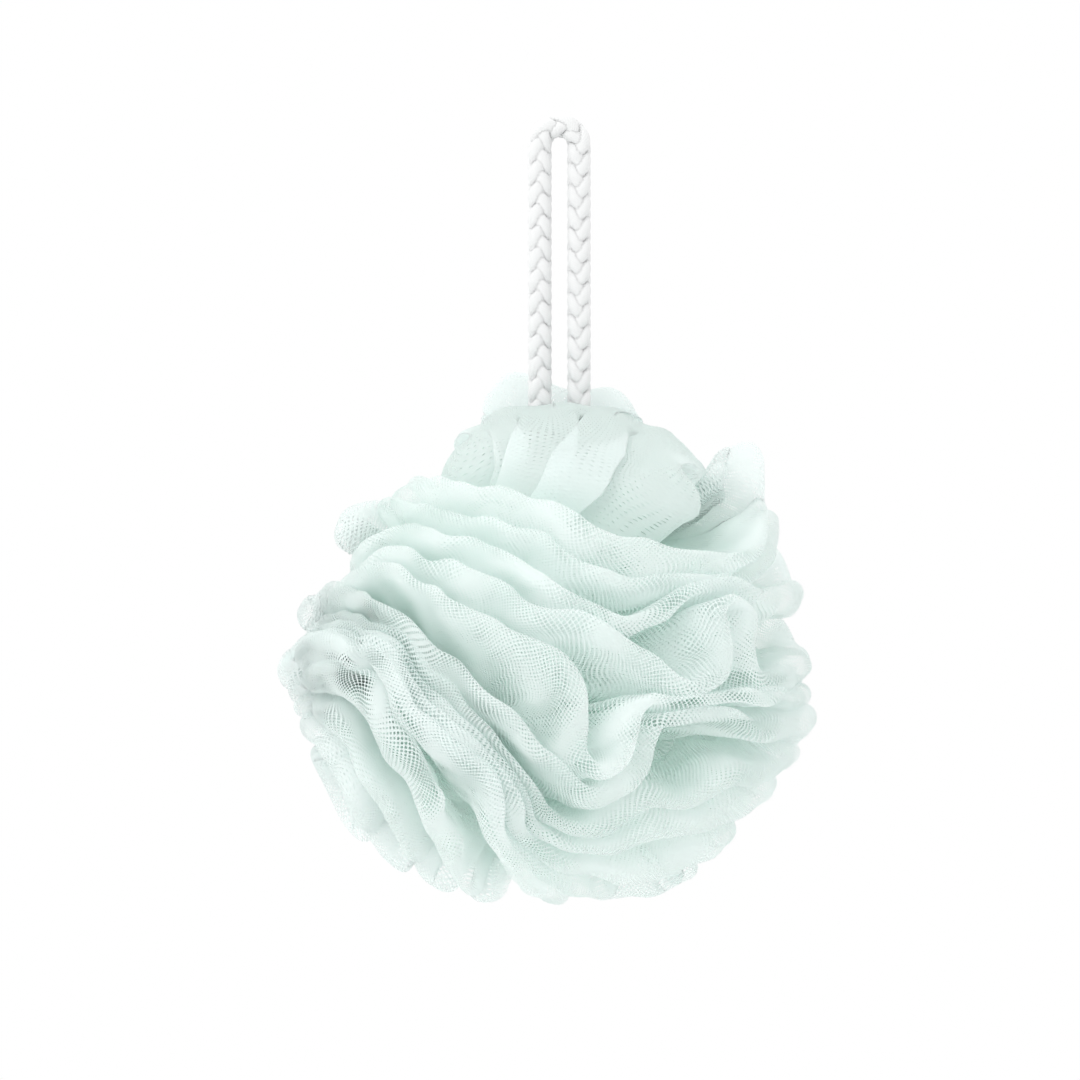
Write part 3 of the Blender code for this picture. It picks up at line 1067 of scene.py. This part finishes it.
    def ring(self, left: float, right: float, angle: np.ndarray) -> np.ndarray:
        """Directions round a ring that meets the outline's plane at two clock directions.

        Args:
            left: Clock direction of its left end, in radians.
            right: Clock direction of its right end, the greater one.
            angle: Angles round the ring, from its right end by way of the back.

        Returns:
            Unit vectors as rows.
        """
        middle, width = (right + left) / 2.0, (right - left) / 2.0
        axis = np.array((math.sin(middle), 0.0, math.cos(middle)))
        side = np.array((math.cos(middle), 0.0, -math.sin(middle)))
        back = np.array((0.0, 1.0, 0.0))
        circle = np.cos(angle)[:, None] * side + np.sin(angle)[:, None] * back
        return math.cos(width) * axis + math.sin(width) * circle

    def rim(self, number: int, front_count: int, back_count: int) -> Arrays:
        """A fold's whole rim, left to right over the front and on over the back.

        Args:
            number: The fold's number.
            front_count: Columns on the front.
            back_count: Columns on the back.

        Returns:
            The rim's points, half its width at each, and the directions of the ring at the heart.
        """
        front, front_half = self.front_rim(FOLD_LINES[number], front_count)
        left, right = (math.atan2(front[end, 0], front[end, 2]) for end in (0, -1))
        if right < left:
            right += FULL_TURN
        angle = np.linspace(0.0, math.pi, back_count + 2)[1:-1]
        directions = self.ring(left, right, angle)
        share = angle / math.pi
        sway = self.back_sway * waves(angle * 2.0, self.back_seed + number, *self.back_waves)
        surface = self.reach(directions) * (self.back_share - sway)
        for row, away in ((-1, share), (0, 1.0 - share)):
            weight = np.exp(-(away / self.join_share) ** 2)
            surface = surface + (np.linalg.norm(front[row]) - surface) * weight
        swell = self.width_sway * waves(angle * 2.0, self.width_seed + number, *self.width_waves)
        half = self.back_half_width * (1.0 + swell)
        rim = np.concatenate((front, directions * surface[:, None]))
        heart_angle = np.concatenate((np.linspace(math.pi, FULL_TURN, front_count), angle))
        rim = self.eased(rim, front_count)
        return rim, np.concatenate((front_half, half)), self.ring(left, right, heart_angle)

    def eased(self, rim: np.ndarray, front_count: int) -> np.ndarray:
        """Round a closed rim's corners, where it gives way to its average under a bell curve.

        Args:
            rim: Points as rows, front first.
            front_count: Number of columns on the front.

        Returns:
            The rounded rim.
        """
        count = len(rim)
        bell = np.exp(-2.0 * (math.pi * np.fft.rfftfreq(count) * self.corner_columns) ** 2)
        average = np.fft.irfft(np.fft.rfft(rim, axis=0) * bell[:, None], n=count, axis=0)
        column = np.arange(count)
        away = np.minimum(np.minimum(column, count - column), np.abs(column - front_count))
        share = np.exp(-(away / (2.0 * self.corner_columns)) ** 2)[:, None]
        return rim * (1.0 - share) + average * share

    def inward(self, directions: np.ndarray, distance: np.ndarray) -> np.ndarray:
        """Turn directions back about the cord's line and the left to right line, more at depth.

        Args:
            directions: Unit vectors as rows.
            distance: Their distances from the centre.

        Returns:
            The turned directions.
        """
        start, end = self.lean_zone
        rest = 1.0 - smooth_step((distance / self.radius - start) / (end - start))
        drooped = turned(directions, np.array((1.0, 0.0, 0.0)), self.droop_angle * rest)
        return turned(drooped, UP, -self.lean_angle * rest)

    def wrinkled(self, points: np.ndarray) -> np.ndarray:
        """Shake the net by small plane waves, more towards the rims.

        Args:
            points: Points as rows, from the centre.

        Returns:
            The moved points.
        """
        start, end = self.wrinkle_zone
        share = smooth_step((lengths(points) / self.radius - start) / (end - start))
        chance = np.random.default_rng(self.wrinkle_seed)
        for length, height in zip(self.wrinkle_lengths, self.wrinkle_heights):
            for _ in range(self.wrinkles_each):
                direction = chance.normal(size=3)
                direction /= np.linalg.norm(direction)
                sway = np.cross(direction, chance.normal(size=3))
                sway /= np.linalg.norm(sway)
                phase = points @ direction * FULL_TURN / length + chance.uniform(0.0, FULL_TURN)
                points = points + (height * np.sin(phase) * share)[:, None] * sway
        return points

    def parted(self, points: np.ndarray) -> np.ndarray:
        """Push the net above the ball's middle aside from an oval round the two legs.

        Args:
            points: Points as rows, from the centre.

        Returns:
            The moved points.
        """
        opening = smooth_step(points[:, 2] / self.parting_rise)
        oval = np.hypot(points[:, 0] / self.leg_half_width, points[:, 1] / self.leg_half_depth)
        oval = np.maximum(oval, SMALLEST)
        push = np.sqrt(oval * oval + opening) / oval
        return points * np.stack((push, push, np.ones(len(points))), axis=1)

    def settled(self, grid: np.ndarray) -> np.ndarray:
        """Ruffle a fold's points and part them from the cord.

        Args:
            grid: Points in any grid, from the ball's centre.

        Returns:
            The placed points in the same grid, from the frame's origin.
        """
        points = grid.reshape(-1, 3)
        front = [Ruffle.on_front(*place) for place in self.front_ruffles]
        for ruffle in (*front, *self.side_ruffles(), *self.fine_ruffles()):
            points = ruffle.apply(points, self.radius, *self.ruffle_zone)
        return self.parted(self.wrinkled(points)).reshape(grid.shape) + self.centre


@dataclass
class NetPouf:
    """The tube of net, bunched into deep folds that all run down to the tie at the heart."""

    shape: PoufShape = field(default_factory=PoufShape)
    wall_steps: int = 18
    rim_steps: int = 9
    columns_per_pixel: float = 0.46
    column_limits: Counts = (110, 420)
    back_columns: int = 300
    back_least: float = 0.35
    crown_share: float = 0.85
    heart_width_share: float = 0.5
    row_power: float = 0.8
    cell: float = 0.00116
    highest_crown: float = 0.0045
    liner_share: float = 0.70
    liner_sway: float = 0.03
    liner_steps: Counts = (200, 90)
    liner_range: Pair = (math.radians(24.0), math.radians(165.0))
    liner_waves: tuple[Triple, ...] = ((5.0, 0.0, 3.0), (0.0, 5.0, -4.0))
    liner_counts: Counts = (2, 7)
    liner_seed: int = 41
    liner_openness: float = 0.5
    cell_waves: int = 4
    cell_seed: int = 300
    wave_cells: Pair = (14.0, 34.0)
    shift_rows: Pair = (14.0, 30.0)
    shift_share: float = 0.012
    bunch_rows: Pair = (12.0, 26.0)
    bunch_height: float = 0.22
    bunch_gain: float = 2.0
    pieces: tuple[tuple[int, ...], ...] = (
        (0, 1, 2), (3,), (4,), (5,), (6,), (7,), (8,), (9,), (10,), (11,), (12, 13, 14, 15, 16),
    )

    def fold_points(self, number: int) -> np.ndarray:
        """Grid of one fold: up one wall, over the rounded rim and down the other wall.

        At each depth the fold's middle line is a blend of the rim and the ring at the heart, turned
        back with depth. The walls stand off it, square to it, and close up towards the heart.

        Args:
            number: The fold's number.

        Returns:
            Points, columns by rows by 3, from the ball's centre.
        """
        shape = self.shape
        wanted = FOLD_LINES[number].length * self.columns_per_pixel
        front_count = int(np.clip(wanted, *self.column_limits))
        back_share = min(1.0, self.back_least + front_count / self.column_limits[1])
        rim, half, heart = shape.rim(number, front_count, int(self.back_columns * back_share))
        distance = lengths(rim)
        crown = np.minimum(half * self.crown_share, self.highest_crown)
        share = np.linspace(0.0, 1.0, self.wall_steps) ** self.row_power
        wall_radius = shape.heart_radius + (distance - crown - shape.heart_radius)[:, None] * share
        narrow = self.heart_width_share
        wall_off = np.minimum(half[:, None] * (narrow + (1.0 - narrow) * share), wall_radius / 2.0)
        turn = np.linspace(0.0, math.pi, self.rim_steps + 2)[1:-1]
        rim_radius = (distance - crown)[:, None] + crown[:, None] * np.sin(turn)
        rim_off = half[:, None] * np.cos(turn)
        radius = np.concatenate((wall_radius, rim_radius, wall_radius[:, ::-1]), axis=1)
        offset = np.concatenate((wall_off, rim_off, -wall_off[:, ::-1]), axis=1)
        start, end = shape.blend_zone
        weight = smooth_step((radius - start) / (end - start))[..., None]
        middle = unit(heart[:, None] * (1.0 - weight) + (rim / distance[:, None])[:, None] * weight)
        middle = shape.inward(middle.reshape(-1, 3), radius.ravel()).reshape(middle.shape)
        along = np.roll(middle, -1, axis=0) - np.roll(middle, 1, axis=0)
        square = np.cross(middle, along)
        square /= np.maximum(lengths(square), SMALLEST_SQUARED)[..., None]
        return unit(middle + square * np.tan(offset / radius)[..., None]) * radius[..., None]

    def liner_points(self) -> np.ndarray:
        """Grid of the crumpled net that shows between the folds, an open ball under their rims.

        Returns:
            Points, columns by rows by 3, from the ball's centre.
        """
        columns, rows = self.liner_steps
        around = np.linspace(0.0, FULL_TURN, columns, endpoint=False)[:, None]
        down = np.linspace(*self.liner_range, rows)[None]
        level = np.cos(down) * np.ones_like(around)
        ring = np.sin(down)
        directions = np.stack((ring * np.cos(around), ring * np.sin(around), level), axis=-1)
        flat = directions.reshape(-1, 3)
        sway = np.zeros(len(flat))
        for seed, direction in enumerate(self.liner_waves, self.liner_seed):
            sway += waves(flat @ np.array(direction), seed, *self.liner_counts)
        distance = self.shape.reach(flat) * (self.liner_share + self.liner_sway * sway)
        return (flat * distance[:, None]).reshape(directions.shape)

    def net_places(self, placed: np.ndarray, fold: int, mean: float) -> Arrays:
        """Map of the net's cells on a placed fold, and how open they stand.

        The map runs round the rim and down from it, in cells, and slow waves stretch and squeeze it.

        Args:
            placed: The fold's points.
            fold: The fold's number, which seeds its waves.
            mean: The net's mean openness.

        Returns:
            The map, with one column more than the points, and the openness at each point.
        """
        count, rows, _ = placed.shape
        rim = rows // 2
        closed = np.concatenate((placed, placed[:1]))
        across = run_along(closed[:, rim])
        cells = round(across[-1] / self.cell)
        across = (across / across[-1] * cells)[:, None] * np.ones((1, rows))
        down = lengths(np.diff(closed, axis=1)).cumsum(axis=1) / self.cell
        down = np.concatenate((np.zeros((count + 1, 1)), down), axis=1)
        down = down - down[:, rim:rim + 1]
        chance = np.random.default_rng(self.cell_seed + fold)
        shift = np.zeros((2, count + 1, rows))
        bunch = np.zeros((count + 1, rows))
        for _ in range(self.cell_waves):
            length = chance.uniform(*self.wave_cells)
            turns = round(cells / length) * chance.choice((-1.0, 1.0))
            for axis in (0, 1):
                phase = turns * across / cells + down / chance.uniform(*self.shift_rows)
                start = chance.uniform(0.0, FULL_TURN)
                shift[axis] += self.shift_share * length * np.sin(FULL_TURN * phase + start)
            phase = turns * across / cells + down / chance.uniform(*self.bunch_rows)
            bunch += self.bunch_height * np.sin(FULL_TURN * phase + chance.uniform(0.0, FULL_TURN))
        places = np.stack((across + shift[0], down + shift[1]), axis=-1)
        return places, np.clip(mean + bunch * min(1.0, self.bunch_gain * mean), 0.0, 1.0)[:-1]

    def build(self) -> list[bpy.types.Object]:
        """Make the folds of net, and log each one's triangles and flat size.

        Returns:
            The folds.
        """
        net = NetFinish(centre=tuple(self.shape.centre)).material()
        pieces = []
        for numbers in self.pieces:
            patches = []
            for number in numbers:
                placed = self.shape.settled(self.fold_points(number))
                openness = FOLD_LINES[number].openness
                patches.append(Patch(placed, *self.net_places(placed, number, openness)))
            if numbers is self.pieces[0]:
                placed = self.shape.settled(self.liner_points())
                places = self.net_places(placed, len(FOLD_LINES), self.liner_openness)
                patches.append(Patch(placed, *places))
            name = f"net_fold_{FOLD_LINES[numbers[0]].name}"
            piece = surface_object(name, patches, NET_MAP, OPENNESS, net)
            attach(piece, "root")
            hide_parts("mesh_pouf")
            width, length = self.flat_size(patches)
            size = (triangles_in(piece), width, length)
            log.info("%s: %d triangles, flat %.2f by %.2f m", piece.name, *size)
            pieces.append(piece)
        return pieces

    def flat_size(self, patches: list[Patch]) -> Pair:
        """Size of some folds' stretch of the tube, let go and slit open.

        Args:
            patches: The folds' grids.

        Returns:
            The mean girth, which is the area over the length, and the length over all the walls.
        """
        area = length = 0.0
        for patch in patches:
            closed = np.concatenate((patch.points, patch.points[:1]))
            round_steps = np.diff(closed, axis=0)[:, :-1]
            down_steps = np.diff(closed, axis=1)[:-1]
            length += float(lengths(down_steps).sum(axis=1).mean())
            area += float(lengths(np.cross(round_steps, down_steps)).sum())
        return area / length, length


def main() -> None:
    """Build the studio, the cord and the pouf, in that order."""
    logging.basicConfig(level=logging.INFO, format="%(message)s")
    shape = PoufShape()
    Studio().build(shape.centre)
    cord = BraidedCord().build()
    log.info("%s: %d triangles", cord.name, triangles_in(cord))
    pieces = NetPouf(shape=shape).build()
    total = sum(triangles_in(piece) for piece in pieces)
    log.info("pouf: %d pieces, %d triangles", len(pieces), total)


if __name__ == "__main__":
    main()
